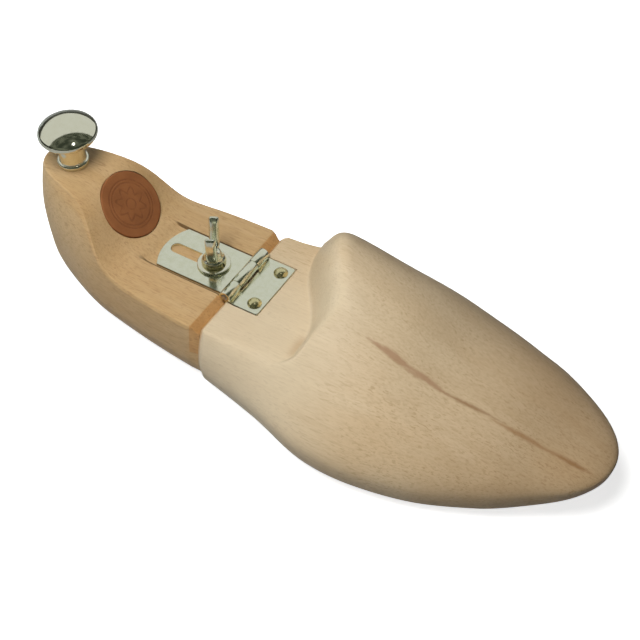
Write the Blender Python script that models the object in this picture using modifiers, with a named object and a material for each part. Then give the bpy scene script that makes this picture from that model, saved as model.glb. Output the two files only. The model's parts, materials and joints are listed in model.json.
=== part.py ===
"""A hinged wooden shoe tree: toe block, heel block, strap hinge with a slotted leaf, wing screw and pull knob.

Sizes are in millimetres and MM turns them into metres. They are written in the last's own frame: the hinge pin
runs along Y at x = 0, the deck that carries the hinge is z = 0, and +X points to the toe. The sole slopes a little
against the deck, so the finished assembly is pitched to stand on its sole, centred on the world origin.
"""
import math

import bmesh
import bpy
import numpy as np
from mathutils import Matrix, Vector

MM = 0.001
COLLECTION = "shoe_tree"
GAP = 0.3                       # clearance between pieces that touch
SLIDE_GAP = 0.2                 # clearance under washers and between knuckles

# Sole: a plane that slopes against the deck, with an arch at the joint and spring at the toe
SOLE_DEPTH = 35.0               # deck to sole at the hinge
SOLE_SLOPE = 0.07
ARCH_RISE = 1.2
ARCH_REACH = 40.0
SPRING_START = 100.0
SPRING_RISE = 11.0

# Toe block
TOE_TIP = 172.0
TOE_ROUND_START = 128.0
TOE_ROUND_POWER = 2.2
FORE_REAR = 0.3
FORE_CENTRE = [(0, -3.9), (15, -4.1), (30, -3.0), (60, -4.1), (90, -0.1), (120, 3.7), (150, 6.7), (171, 5.7)]
FORE_HALF = [(0, 35.2), (15, 37.4), (30, 41.5), (60, 48.3), (80, 50.0), (105, 46.8), (130, 38.5), (150, 31.5),
             (171, 27.4)]
FORE_TOP = [(0, 38), (30, 30.8), (50, 24.5), (75, 14.6), (100, 2.8), (125, -4.5), (150, -12.1), (171, -15.0)]
FORE_RIDGE = [(0, 5), (20, 9), (40, 12), (60, 11), (90, 8), (120, 7), (150, 7), (171, 8)]
FORE_WIDE = [(0, 17), (60, 17), (110, 15), (150, 14), (171, 13)]
FORE_CORNER = [(0, 15), (60, 16), (171, 13)]
FORE_OUTER_FULLNESS = [(0, 0.40), (20, 0.33), (38, 0.29), (60, 0.33), (100, 0.45), (150, 0.55), (171, 0.60)]
FORE_INNER_FULLNESS = 0.60
CORNER_FULLNESS = 0.62
CORNER_POWER = 2.3
CROWN_POWER = 2.25

# Riser between the deck and the instep: an S in plan, leaning towards the toe
RISER_MIDDLE = 30.2
RISER_SWING = 12.4
RISER_TURN_Y = 4.5
RISER_TURN_WIDTH = 16.0
RISER_HOOK_Y = -27.0            # the riser's near end hooks back to the heel
RISER_HOOK = 0.12
RISER_LEAN = math.radians(65)
CUT_HEIGHT = 60.0

# Heel block
HEEL_FRONT = -0.3
HEEL_NEAR = [(-110, 24), (-80, 26), (-55, 31), (-30, 34.5), (0, 37.4)]
HEEL_FAR = [(-110, 24), (-80, 25), (-55, 27.5), (-30, 31), (0, 32.4)]
HEEL_RIDGE = [(-105, 35), (-60, 33), (0, 40)]
HEEL_BACK = [(-32, -97), (-22, -99.8), (-12, -101.6), (5, -104.0), (26, -103.0)]
HEEL_WIDE = 17.0
HEEL_CORNER = 15.0
HEEL_ROUND_START = -50.0
HEEL_ROUND_POWER = 2.3
HEEL_ROUND_CENTRE = 2.5
RAMP_HEIGHT = 24.0
RAMP_MIDDLE = -60.0
RAMP_SOFTNESS = 4.6
SEAT_EDGE = -86.0
SEAT_DROOP = 0.05

# Bevels at the joint
HEEL_BEVEL = (4.2, 4.2)         # along X, down from the deck
HEEL_EASE = (4.9, 3.0)          # along X, in from the sides
FORE_BEVEL = (1.3, 1.3)
FORE_EASE = (3.0, 2.0)

# Strap hinge
SHEET = 1.2
KNUCKLE_R = 2.75
PIN_R = 1.3
PIN_BORE_R = 1.36
PIN_PROUD = 0.3
PIN_Z = KNUCKLE_R - SHEET
BARREL_HALF = 15.5
KNUCKLE_SPLIT = 6.75
LEAF_CLEAR_X = 3.15             # where the plates stop short of the other leaf's knuckles
FRONT_LEAF_END = 16.2
REAR_LEAF_HALF = 12.4
REAR_LEAF_CHORD = -37.1
REAR_LEAF_SAGITTA = 3.7
SLOT_REAR = -37.6
SLOT_HALF = 2.75
RECESS_DEPTH = 1.5
GROOVE_END = -42.0
GROOVE_NEAR = -13.8
GROOVE_FAR = 12.8

# Nails in the front leaf
NAIL_X = 11.8
NAIL_Y = 10.4
NAIL_HEAD_R = 3.1
NAIL_HEAD_HEIGHT = 2.0
NAIL_R = 1.2
NAIL_DEPTH = 14.0

# Clamp
SCREW_X = -15.6
SCREW_R = 2.45
SCREW_DEPTH = 13.0
WASHER_R = 7.3
WASHER_BORE_R = 2.75
WASHER_THICK = 1.2
SPRING_R = 5.3
SPRING_BORE_R = 2.8
SPRING_THICK = 1.2
SPRING_SPLIT = 0.9
HUB_R = 5.0
HUB_TOP_R = 3.6
HUB_HEIGHT = 5.6
WING_TURN = math.radians(117)
WING_THICK = 3.6
WING_POINTS = [(1.5, 1.6), (4.4, 2.0), (6.5, 5.4), (7.7, 10.0), (8.3, 14.3), (8.1, 17.0), (7.2, 18.2), (6.2, 18.2),
               (5.2, 16.6), (4.1, 11.5), (2.9, 7.6), (1.5, 5.8)]
INSERT_R = 4.0
INSERT_BORE_R = 2.52
INSERT_LENGTH = 12.0

# Knob and its stud
KNOB_X = -88.8
KNOB_Y = 1.6
KNOB_LEAN = math.radians(0.9)   # back to the heel
KNOB_TIP = math.radians(2.6)    # over to the inner side
KNOB_R = 13.0
KNOB_RIM = (12.7, 18.8)
KNOB_TOP_Z = 23.8
NECK_R = 5.9
FOOT_R = 7.05
STUD_R = 2.2
STUD_IN_WOOD = 24.0
STUD_IN_KNOB = 10.0

# Badge
BADGE_X = -60.0
BADGE_Y = 2.0
BADGE_R = 15.0
BADGE_THICK = 1.6
BADGE_SINK = 0.8
BADGE_LEAN = math.radians(45)

ROUND_STEPS = 32

COLOURS = {
    "beech_fore": ((0.62, 0.44, 0.26), 0.55, 0.0),
    "beech_heel": ((0.55, 0.35, 0.17), 0.55, 0.0),
    "zinc": ((0.72, 0.75, 0.68), 0.25, 1.0),
    "nickel": ((0.74, 0.72, 0.62), 0.12, 1.0),
    "brass": ((0.72, 0.60, 0.32), 0.25, 1.0),
    "steel": ((0.50, 0.50, 0.50), 0.35, 1.0),
    "leather": ((0.26, 0.10, 0.04), 0.60, 0.0),
}


def smooth_table(x, table):
    """Value at x on a smooth curve through the table's (position, value) pairs."""
    positions = np.array([row[0] for row in table], float)
    values = np.array([row[1] for row in table], float)
    slopes = np.gradient(values, positions)
    x = min(max(x, positions[0]), positions[-1])
    i = int(np.clip(np.searchsorted(positions, x) - 1, 0, len(table) - 2))
    step = positions[i + 1] - positions[i]
    t = (x - positions[i]) / step
    return float((2 * t**3 - 3 * t**2 + 1) * values[i] + (t**3 - 2 * t**2 + t) * step * slopes[i]
                 + (3 * t**2 - 2 * t**3) * values[i + 1] + (t**3 - t**2) * step * slopes[i + 1])


def quarter_round(t, power):
    """Superellipse quarter: 1 at t = 0, falling to 0 at t = 1."""
    return max(1 - min(max(t, 0), 1)**power, 0)**(1 / power)


def sole_z(x):
    """Height of the sole under station x."""
    arch = ARCH_RISE * max(1 - abs(x) / ARCH_REACH, 0)**2
    spring = SPRING_RISE * (max(x - SPRING_START, 0) / (TOE_TIP - SPRING_START))**2
    return -(SOLE_DEPTH + SOLE_SLOPE * x) + arch + spring


def heel_top_z(x):
    """Deck, ramp and knob seat of the heel block."""
    ramp = RAMP_HEIGHT / (1 + math.exp((x - RAMP_MIDDLE) / RAMP_SOFTNESS))
    return ramp - SEAT_DROOP * max(SEAT_EDGE - x, 0)


def riser_x(y):
    """Foot of the toe block's riser in plan."""
    hook = min(RISER_HOOK * max(RISER_HOOK_Y - y, 0)**2, 12)
    return RISER_MIDDLE - RISER_SWING * math.tanh((y - RISER_TURN_Y) / RISER_TURN_WIDTH) - hook


def bezier(p0, p1, p2, p3, steps):
    """Points on a cubic Bezier curve, without its last."""
    points = []
    for k in range(steps):
        t = k / steps
        weights = ((1 - t)**3, 3 * (1 - t)**2 * t, 3 * (1 - t) * t**2, t**3)
        points.append(tuple(sum(w * p[i] for w, p in zip(weights, (p0, p1, p2, p3))) for i in (0, 1)))
    return points


def fore_section(x, corner_steps=6, crown_steps=11):
    """Closed ring of the uncut toe block at x: flat sole, rounded lower corners and an uneven crown."""
    shrink = quarter_round((x - TOE_ROUND_START) / (TOE_TIP - TOE_ROUND_START), TOE_ROUND_POWER)
    ease = FORE_EASE[1] * max(1 - (x - FORE_REAR) / FORE_EASE[0], 0)
    centre = smooth_table(x, FORE_CENTRE)
    half = smooth_table(x, FORE_HALF) * shrink - ease
    drop = smooth_table(x, FORE_WIDE) * shrink
    wide = sole_z(x) + smooth_table(x, FORE_WIDE)
    rise = (smooth_table(x, FORE_TOP) - wide) * shrink
    ridge = centre + (smooth_table(x, FORE_RIDGE) - centre) * shrink
    corner = min(smooth_table(x, FORE_CORNER), 0.9 * half)
    outer = smooth_table(x, FORE_OUTER_FULLNESS)
    inner = FORE_INNER_FULLNESS
    near, far, low, top = centre - half, centre + half, wide - drop, wide + rise
    rest = corner * (1 - CORNER_FULLNESS)
    ring = bezier((far - corner, low), (far - rest, low), (far, wide - CORNER_FULLNESS * drop), (far, wide),
                  corner_steps)
    ring += bezier((far, wide), (far, wide + inner * rise), (ridge + inner * (far - ridge), top), (ridge, top),
                   crown_steps)
    ring += bezier((ridge, top), (ridge + outer * (near - ridge), top), (near, wide + outer * rise), (near, wide),
                   crown_steps)
    ring += bezier((near, wide), (near, wide - CORNER_FULLNESS * drop), (near + rest, low), (near + corner, low),
                   corner_steps)
    ring.append((near + corner, low))
    return [Vector((x, y, z)) * MM for y, z in ring]


def heel_side(x, z, table):
    """Half width of the heel block at height z."""
    half = smooth_table(x, table) - HEEL_EASE[1] * max(1 + (x - HEEL_FRONT) / HEEL_EASE[0], 0)
    wide_z = sole_z(x) + HEEL_WIDE
    if z < wide_z:
        return half - HEEL_CORNER * (1 - quarter_round((wide_z - z) / HEEL_WIDE, CORNER_POWER))
    ridge = smooth_table(x, HEEL_RIDGE)
    return half * quarter_round((z - wide_z) / (ridge - wide_z), CROWN_POWER)


def heel_ring(level, steps=20):
    """Outline of the heel block at a fraction of its height: near side from the joint, round the back, far side."""
    near, far = [], []
    first = math.asin(HEEL_EASE[0] / 104) * 2 / math.pi
    turns = [0] + list(np.linspace(first, 1, steps))
    for turn in turns:
        z = 0.0
        for _ in range(8):
            back = smooth_table(z, HEEL_BACK)
            x = HEEL_FRONT + (back - HEEL_FRONT) * math.sin(turn * math.pi / 2)
            z = sole_z(x) + level * (heel_top_z(x) - sole_z(x))
        round_off = quarter_round((x - HEEL_ROUND_START) / (back - HEEL_ROUND_START), HEEL_ROUND_POWER)
        middle = HEEL_ROUND_CENTRE * (1 - round_off)
        near.append(Vector((x, middle - heel_side(x, z, HEEL_NEAR) * round_off, z)) * MM)
        far.append(Vector((x, middle + heel_side(x, z, HEEL_FAR) * round_off, z)) * MM)
    return near + far[-2::-1]


def collection(name):
    made = bpy.data.collections.new(name)
    bpy.context.scene.collection.children.link(made)
    return made


def material(name):
    colour, roughness, metallic = COLOURS[name]
    made = bpy.data.materials.get(name)
    if made is None:
        made = bpy.data.materials.new(name)
        made.use_nodes = True
        shader = made.node_tree.nodes["Principled BSDF"]
        shader.inputs["Base Color"].default_value = (*colour, 1)
        shader.inputs["Roughness"].default_value = roughness
        shader.inputs["Metallic"].default_value = metallic
        made.diffuse_color = (*colour, 1)
    return made


def add(name, mesh, group, parent, origin=(0, 0, 0), finish=None, matrix=None):
    """Object from a mesh in the last's frame, with its origin moved to a joint's axis."""
    if matrix is not None:
        mesh.transform(matrix)
    offset = Vector(origin) * MM
    mesh.transform(Matrix.Translation(-offset))
    made = bpy.data.objects.new(name, mesh)
    group.objects.link(made)
    made.parent = parent
    made.location = offset
    if finish:
        mesh.materials.append(material(finish))
        mesh.shade_smooth()
        mesh.set_sharp_from_angle(angle=math.radians(35))
    else:
        made.hide_render = True
        made.display_type = "WIRE"
    return made


def mesh_from(bm, name):
    bmesh.ops.recalc_face_normals(bm, faces=bm.faces)
    mesh = bpy.data.meshes.new(name)
    bm.to_mesh(mesh)
    bm.free()
    return mesh


def cylinder(name, radius, low, high, steps=ROUND_STEPS):
    """Cylinder along Z between two heights."""
    bm = bmesh.new()
    middle = Matrix.Translation((0, 0, (low + high) / 2 * MM))
    bmesh.ops.create_cone(bm, cap_ends=True, segments=steps, radius1=radius * MM, radius2=radius * MM,
                          depth=(high - low) * MM, matrix=middle)
    return mesh_from(bm, name)


def box(name, low, high):
    bm = bmesh.new()
    size = [(b - a) * MM for a, b in zip(low, high)]
    centre = [(a + b) / 2 * MM for a, b in zip(low, high)]
    bmesh.ops.create_cube(bm, size=1, matrix=Matrix.Translation(centre) @ Matrix.Diagonal((*size, 1)))
    return mesh_from(bm, name)


def turned(name, profile):
    """Solid of revolution about Z from a profile that runs down the outer side and starts and ends on the axis."""
    bm = bmesh.new()
    points = [bm.verts.new((r * MM, 0, z * MM)) for r, z in profile]
    for a, b in zip(points, points[1:]):
        bm.edges.new((a, b))
    holder = bpy.data.objects.new(name, mesh_from(bm, name))
    bpy.context.scene.collection.objects.link(holder)
    screw = holder.modifiers.new("turn", "SCREW")
    screw.steps = ROUND_STEPS
    screw.render_steps = ROUND_STEPS
    screw.use_merge_vertices = True
    screw.merge_threshold = 0.00001
    return baked(holder)


def baked(holder):
    """Mesh of an object as its modifiers leave it; the object itself is removed."""
    graph = bpy.context.evaluated_depsgraph_get()
    mesh = bpy.data.meshes.new_from_object(holder.evaluated_get(graph))
    bpy.data.objects.remove(holder)
    bm = bmesh.new()
    bm.from_mesh(mesh)
    bmesh.ops.remove_doubles(bm, verts=bm.verts, dist=0.00001)
    bmesh.ops.recalc_face_normals(bm, faces=bm.faces)
    bm.to_mesh(mesh)
    bm.free()
    return mesh


def plate(name, outlines, low, high):
    """Flat plate between two heights; outlines after the first are holes."""
    curve = bpy.data.curves.new(name, "CURVE")
    curve.dimensions = "2D"
    curve.fill_mode = "BOTH"
    curve.extrude = (high - low) / 2 * MM
    for outline in outlines:
        spline = curve.splines.new("POLY")
        spline.points.add(len(outline) - 1)
        spline.use_cyclic_u = True
        for point, (x, y) in zip(spline.points, outline):
            point.co = (x * MM, y * MM, 0, 1)
    holder = bpy.data.objects.new(name, curve)
    bpy.context.scene.collection.objects.link(holder)
    mesh = baked(holder)
    mesh.transform(Matrix.Translation((0, 0, (low + high) / 2 * MM)))
    return mesh


def stand_up(mesh, y_low, y_high):
    """Turn a plate drawn in X and Z, between the heights y_low and y_high, upright along Y."""
    mesh.transform(Matrix.Rotation(math.pi / 2, 4, "X"))
    mesh.transform(Matrix.Translation((0, (y_low + y_high) * MM, 0)))
    return mesh


def circle(x, y, radius, steps=ROUND_STEPS):
    return [(x + radius * math.cos(2 * math.pi * k / steps), y + radius * math.sin(2 * math.pi * k / steps))
            for k in range(steps)]


def arc(x, y, radius, start, end, steps):
    """Points on an arc, angles in degrees."""
    return [(x + radius * math.cos(math.radians(start + (end - start) * k / steps)),
             y + radius * math.sin(math.radians(start + (end - start) * k / steps))) for k in range(steps + 1)]


def boolean(target, tool, operation="DIFFERENCE"):
    made = target.modifiers.new(operation.lower(), "BOOLEAN")
    made.object = tool
    made.operation = operation
    made.solver = "EXACT"


def skin(rings, name, tip=None):
    """Loft closed rings; the first is capped, the last is capped or drawn to a tip."""
    bm = bmesh.new()
    loops = [[bm.verts.new(point) for point in ring] for ring in rings]
    count = len(loops[0])
    for lower, upper in zip(loops, loops[1:]):
        for k in range(count):
            bm.faces.new((lower[k], lower[(k + 1) % count], upper[(k + 1) % count], upper[k]))
    bm.faces.new(loops[0])
    if tip is None:
        bm.faces.new(loops[-1])
    else:
        end = bm.verts.new(tip)
        for k in range(count):
            bm.faces.new((loops[-1][k], loops[-1][(k + 1) % count], end))
    return mesh_from(bm, name)


def skin_heel(rings, name):
    """Loft the heel block's level outlines; sole and top are strips from side to side."""
    bm = bmesh.new()
    loops = [[bm.verts.new(point) for point in ring] for ring in rings]
    count = len(loops[0])
    for lower, upper in zip(loops, loops[1:]):
        for k in range(count - 1):
            bm.faces.new((lower[k], lower[k + 1], upper[k + 1], upper[k]))
    for loop in (loops[0], loops[-1]):
        for k in range(count // 2):
            across = [loop[k], loop[k + 1], loop[count - 2 - k], loop[count - 1 - k]]
            bm.faces.new(list(dict.fromkeys(across)))
    bm.faces.new([loop[0] for loop in loops] + [loop[-1] for loop in reversed(loops)])
    return mesh_from(bm, name)


def make_fore(parts, cutters, frame):
    stations = [FORE_REAR, FORE_REAR + FORE_EASE[0]]
    stations += list(np.linspace(8, TOE_ROUND_START, 18))
    stations += [TOE_ROUND_START + (TOE_TIP - TOE_ROUND_START) * math.sin(t * math.pi / 2)
                 for t in np.linspace(0.1, 0.95, 12)]
    tip = Vector((TOE_TIP, smooth_table(TOE_TIP, FORE_CENTRE), sole_z(TOE_TIP) + FORE_WIDE[-1][1])) * MM
    body = skin([fore_section(x) for x in stations], "fore_part", tip)
    fore = add("fore_part", body, parts, frame, finish="beech_fore")

    ys = np.linspace(-60, 60, 41)
    outline = [(-10, -60)] + [(riser_x(y), y) for y in ys] + [(-10, 60)]
    deck = plate("deck_cut", [outline], 0, CUT_HEIGHT)
    for vertex in deck.vertices:
        if vertex.co.x > 0 and vertex.co.z > CUT_HEIGHT / 2 * MM:
            vertex.co.x += CUT_HEIGHT / math.tan(RISER_LEAN) * MM
    run, drop = FORE_BEVEL
    wedge = [(FORE_REAR - run, -2 * drop), (FORE_REAR + 2 * run, drop), (FORE_REAR - run, drop)]
    bevel = stand_up(plate("fore_bevel", [wedge], -60, 60), 0, 0)
    recess = box("leaf_recess", (-4, -BARREL_HALF - GAP, -RECESS_DEPTH),
                 (FRONT_LEAF_END + GAP, BARREL_HALF + GAP, 3))
    tools = [deck, bevel, recess]
    for side in (-1, 1):
        bore = cylinder("nail_bore", NAIL_R + GAP, -NAIL_DEPTH - GAP, 2, 16)
        bore.transform(Matrix.Translation((NAIL_X * MM, side * NAIL_Y * MM, 0)))
        tools.append(bore)
    for tool in tools:
        boolean(fore, add("cut_" + tool.name, tool, cutters, frame))


def make_heel(parts, cutters, frame):
    levels = [0, 0.03, 0.09, 0.18, 0.3, 0.45, 0.6, 0.8, 1]
    body = skin_heel([heel_ring(level) for level in levels], "heel_part")
    heel = add("heel_part", body, parts, frame, finish="beech_heel")

    run, drop = HEEL_BEVEL
    wedge = [(HEEL_FRONT - 1.5 * run, 0.5 * drop), (HEEL_FRONT + 0.5 * run, -1.5 * drop),
             (HEEL_FRONT + 0.5 * run, 0.5 * drop)]
    bevel = stand_up(plate("heel_bevel", [wedge], -60, 60), 0, 0)
    groove = box("leaf_groove", (GROOVE_END, GROOVE_NEAR, -RECESS_DEPTH), (2, GROOVE_FAR, 30))
    pocket = cylinder("insert_pocket", INSERT_R + GAP, -RECESS_DEPTH - GAP - INSERT_LENGTH - 3, 2)
    pocket.transform(Matrix.Translation((SCREW_X * MM, 0, 0)))
    stud_bore = cylinder("stud_bore", STUD_R + GAP, -STUD_IN_WOOD - GAP, 6, 20)
    stud_bore.transform(knob_matrix())
    seat = cylinder("knob_seat", FOOT_R + 0.5, 0, 9, 48)
    seat.transform(knob_matrix())
    spot = cylinder("badge_seat", BADGE_R + GAP, -BADGE_SINK - GAP, 30, 48)
    spot.transform(badge_matrix())
    for tool in (bevel, groove, pocket, stud_bore, seat, spot):
        boolean(heel, add("cut_" + tool.name, tool, cutters, frame))


def knob_matrix():
    place = Vector((KNOB_X, KNOB_Y, heel_top_z(KNOB_X))) * MM
    return (Matrix.Translation(place) @ Matrix.Rotation(-KNOB_LEAN, 4, "Y")
            @ Matrix.Rotation(KNOB_TIP, 4, "X"))


def badge_matrix():
    place = Vector((BADGE_X, BADGE_Y, heel_top_z(BADGE_X))) * MM
    return Matrix.Translation(place) @ Matrix.Rotation(BADGE_LEAN, 4, "Y")


def knuckle(name, y_low, y_high, towards):
    """Rolled knuckle with the stub of its leaf, which leaves it towards -X or +X."""
    ring = circle(0, PIN_Z, KNUCKLE_R)
    hole = circle(0, PIN_Z, PIN_BORE_R)
    roll = stand_up(plate(name, [ring, hole], y_low, y_high), y_low, y_high)
    reach = towards * (LEAF_CLEAR_X + 1.0)
    low, high = min(0, reach), max(0, reach)
    stub = box(name + "_stub", (low, y_low, -SHEET), (high, y_high, 0))
    return roll, stub


def make_leaf(name, outlines, knuckles, towards, parts, cutters, frame, nails=()):
    axis = (0, 0, PIN_Z)
    leaf = add(name, plate(name, outlines, -SHEET, 0), parts, frame, axis, "zinc")
    for index, (low, high) in enumerate(knuckles):
        roll, stub = knuckle(f"{name}_knuckle_{index}", low, high, towards)
        boolean(leaf, add("join_" + stub.name, stub, cutters, frame), "UNION")
        boolean(leaf, add("join_" + roll.name, roll, cutters, frame), "UNION")
        bore = stand_up(cylinder(f"{name}_bore_{index}", PIN_BORE_R, low - 1, high + 1), 0, 0)
        bore.transform(Matrix.Translation((0, (low + high) * MM, PIN_Z * MM)))
        boolean(leaf, add("cut_" + bore.name, bore, cutters, frame))


def make_hinge(parts, cutters, frame):
    centre = math.hypot(REAR_LEAF_HALF, 0)
    radius = (centre**2 + REAR_LEAF_SAGITTA**2) / (2 * REAR_LEAF_SAGITTA)
    swing = math.degrees(math.asin(REAR_LEAF_HALF / radius))
    end = arc(REAR_LEAF_CHORD - REAR_LEAF_SAGITTA + radius, 0, radius, 180 - swing, 180 + swing, 16)
    rear = end + [(-LEAF_CLEAR_X, -REAR_LEAF_HALF), (-LEAF_CLEAR_X, REAR_LEAF_HALF)]
    slot = arc(SLOT_REAR + SLOT_HALF, 0, SLOT_HALF, 90, 270, 12)
    slot += arc(SCREW_X + GAP, 0, SLOT_HALF, -90, 90, 12)
    middle = [(-KNUCKLE_SPLIT, KNUCKLE_SPLIT)]
    make_leaf("slotted_leaf", [rear, slot], middle, -1, parts, cutters, frame)

    front = [(LEAF_CLEAR_X, -BARREL_HALF), (FRONT_LEAF_END, -BARREL_HALF), (FRONT_LEAF_END, BARREL_HALF),
             (LEAF_CLEAR_X, BARREL_HALF)]
    holes = [circle(NAIL_X, side * NAIL_Y, NAIL_R + GAP, 20) for side in (-1, 1)]
    inner = KNUCKLE_SPLIT + SLIDE_GAP
    outer = [(-BARREL_HALF, -inner), (inner, BARREL_HALF)]
    make_leaf("front_leaf", [front] + holes, outer, 1, parts, cutters, frame)

    half = BARREL_HALF + PIN_PROUD
    pin = turned("hinge_pin", [(0, half), (PIN_R - 0.3, half), (PIN_R, half - 0.3), (PIN_R, 0.3 - half),
                               (PIN_R - 0.3, -half), (0, -half)])
    turn = Matrix.Translation((0, 0, PIN_Z * MM)) @ Matrix.Rotation(math.pi / 2, 4, "X")
    add("hinge_pin", pin, parts, frame, (0, 0, PIN_Z), "steel", turn)


def make_nails(parts, frame):
    dome = (NAIL_HEAD_R**2 + NAIL_HEAD_HEIGHT**2) / (2 * NAIL_HEAD_HEIGHT)
    swing = math.degrees(math.asin(NAIL_HEAD_R / dome))
    centre = SLIDE_GAP + NAIL_HEAD_HEIGHT - dome
    head = [(r, z) for r, z in arc(0, centre, dome, 90, 90 - swing, 6)]
    head[0] = (0, head[0][1])
    shank = [(NAIL_R, SLIDE_GAP), (NAIL_R, -NAIL_DEPTH + 3), (0, -NAIL_DEPTH)]
    for name, side in (("leaf_rivet_near", -1), ("leaf_rivet_far", 1)):
        place = (NAIL_X, side * NAIL_Y, 0)
        mesh = turned(name, head + shank)
        add(name, mesh, parts, frame, place, "brass", Matrix.Translation(Vector(place) * MM))


def washer(name, outer, bore, low, high):
    """Flat ring with a small chamfer on its upper rim."""
    rim = 0.25
    bm_profile = [(bore, high), (outer - rim, high), (outer, high - rim), (outer, low), (bore, low)]
    bm = bmesh.new()
    rings = []
    for step in range(ROUND_STEPS):
        a = 2 * math.pi * step / ROUND_STEPS
        rings.append([bm.verts.new((r * MM * math.cos(a), r * MM * math.sin(a), z * MM)) for r, z in bm_profile])
    count = len(bm_profile)
    for step in range(ROUND_STEPS):
        here, there = rings[step], rings[(step + 1) % ROUND_STEPS]
        for k in range(count):
            bm.faces.new((here[k], here[(k + 1) % count], there[(k + 1) % count], there[k]))
    return mesh_from(bm, name)


def make_clamp(parts, cutters, frame):
    place = (SCREW_X, 0, 0)
    shift = Matrix.Translation(Vector(place) * MM)
    low = SLIDE_GAP
    top = low + WASHER_THICK
    add("flat_washer", washer("flat_washer", WASHER_R, WASHER_BORE_R, low, top), parts, frame, place, "nickel",
        shift)

    low = top + SLIDE_GAP
    top = low + SPRING_THICK
    spring = add("spring_washer", washer("spring_washer", SPRING_R, SPRING_BORE_R, low, top), parts, frame, place,
                 "zinc", shift)
    split = box("spring_split", (0, -SPRING_SPLIT / 2, -3), (SPRING_R + 1, SPRING_SPLIT / 2, 3))
    split.transform(Matrix.Rotation(math.radians(25), 4, "X"))
    split.transform(Matrix.Translation((SCREW_X * MM, 0, (low + top) / 2 * MM)))
    boolean(spring, add("cut_split", split, cutters, frame))

    base = top + SLIDE_GAP
    profile = [(0, base + HUB_HEIGHT), (HUB_TOP_R - 1.2, base + HUB_HEIGHT), (HUB_TOP_R, base + HUB_HEIGHT - 1.0),
               (HUB_R - 0.6, base + 1.6), (HUB_R, base + 1.2), (HUB_R, base), (SCREW_R, base),
               (SCREW_R, -SCREW_DEPTH + 1), (SCREW_R - 1, -SCREW_DEPTH), (0, -SCREW_DEPTH)]
    screw = add("wing_screw", turned("wing_screw", profile), parts, frame, place, "zinc", shift)
    for index, side in enumerate((1, -1)):
        outline = [(side * r, z) for r, z in WING_POINTS]
        wing = stand_up(plate(f"wing_{index}", [outline], -WING_THICK / 2, WING_THICK / 2), 0, 0)
        wing.transform(Matrix.Translation((0, 0, base * MM)))
        wing.transform(Matrix.Rotation(WING_TURN, 4, "Z"))
        wing.transform(shift)
        boolean(screw, add(f"join_wing_{index}", wing, cutters, frame), "UNION")

    low = -RECESS_DEPTH - GAP - INSERT_LENGTH
    sleeve = washer("threaded_insert", INSERT_R, INSERT_BORE_R, low, low + INSERT_LENGTH)
    add("threaded_insert", sleeve, parts, frame, place, "brass", shift)


def make_knob(parts, frame):
    rim_r, rim_z = KNOB_RIM
    dome = (rim_r**2 + (KNOB_TOP_Z - rim_z)**2) / (2 * (KNOB_TOP_Z - rim_z))
    swing = math.degrees(math.asin(rim_r / dome))
    cap = arc(0, KNOB_TOP_Z - dome, dome, 90, 90 - swing, 10)
    cap[0] = (0, KNOB_TOP_Z)
    under = [(KNOB_R, rim_z - 1.4), (12.7, 16.4), (11.8, 15.3), (10.4, 14.5), (8.2, 13.8), (6.9, 12.6),
             (6.1, 10.5), (NECK_R, 8.5), (NECK_R, 3.3)]
    under += arc(FOOT_R - 1.15, 1.7, 1.15, 80, 0, 4) + [(FOOT_R, 0.7), (FOOT_R - 0.4, GAP)]
    bore = [(STUD_R + 0.1, GAP), (STUD_R + 0.1, STUD_IN_KNOB + 1), (0, STUD_IN_KNOB + 1)]
    centre = tuple(knob_matrix().translation / MM)
    add("pull_knob", turned("pull_knob", cap + under + bore), parts, frame, centre, "nickel", knob_matrix())
    stud = [(0, STUD_IN_KNOB), (STUD_R, STUD_IN_KNOB), (STUD_R, -STUD_IN_WOOD + 5), (0, -STUD_IN_WOOD)]
    add("knob_stud", turned("knob_stud", stud), parts, frame, centre, "steel", knob_matrix())


def make_badge(parts, frame):
    low, high = -BADGE_SINK, BADGE_THICK - BADGE_SINK
    rim = 0.5
    profile = [(0, high), (BADGE_R - rim, high), (BADGE_R, high - rim), (BADGE_R, low), (0, low)]
    centre = tuple(badge_matrix().translation / MM)
    add("badge_disc", turned("badge_disc", profile), parts, frame, centre, "leather", badge_matrix())


def stand_on_sole(frame, parts):
    """Pitch the assembly onto its sole and centre its box on the origin."""
    frame.rotation_euler = (0, -math.atan(SOLE_SLOPE), 0)
    bpy.context.view_layer.update()
    graph = bpy.context.evaluated_depsgraph_get()
    corners = []
    for part in parts.objects:
        seen = part.evaluated_get(graph)
        mesh = seen.to_mesh()
        corners += [seen.matrix_world @ vertex.co for vertex in mesh.vertices]
        seen.to_mesh_clear()
    low = [min(point[k] for point in corners) for k in range(3)]
    high = [max(point[k] for point in corners) for k in range(3)]
    frame.location = (-(low[0] + high[0]) / 2, -(low[1] + high[1]) / 2, -low[2])
    bpy.context.view_layer.update()


def main():
    for old in list(bpy.data.objects):
        bpy.data.objects.remove(old)
    parts = collection(COLLECTION)
    cutters = collection("cutters")
    frame = bpy.data.objects.new("last_frame", None)
    bpy.context.scene.collection.objects.link(frame)
    make_fore(parts, cutters, frame)
    make_heel(parts, cutters, frame)
    make_hinge(parts, cutters, frame)
    make_nails(parts, frame)
    make_clamp(parts, cutters, frame)
    make_knob(parts, frame)
    make_badge(parts, frame)
    stand_on_sole(frame, parts)


main()
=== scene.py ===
"""Looks of the shoe tree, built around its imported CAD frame.

Shapes are written in millimetres in the last's own frame: the hinge pin runs along Y at x = 0, the deck that
carries the hinge is z = 0, and +X points to the toe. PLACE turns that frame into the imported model's.
"""
import json
import math

import bmesh
import bpy
import numpy as np
from mathutils import Matrix, Vector


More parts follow.
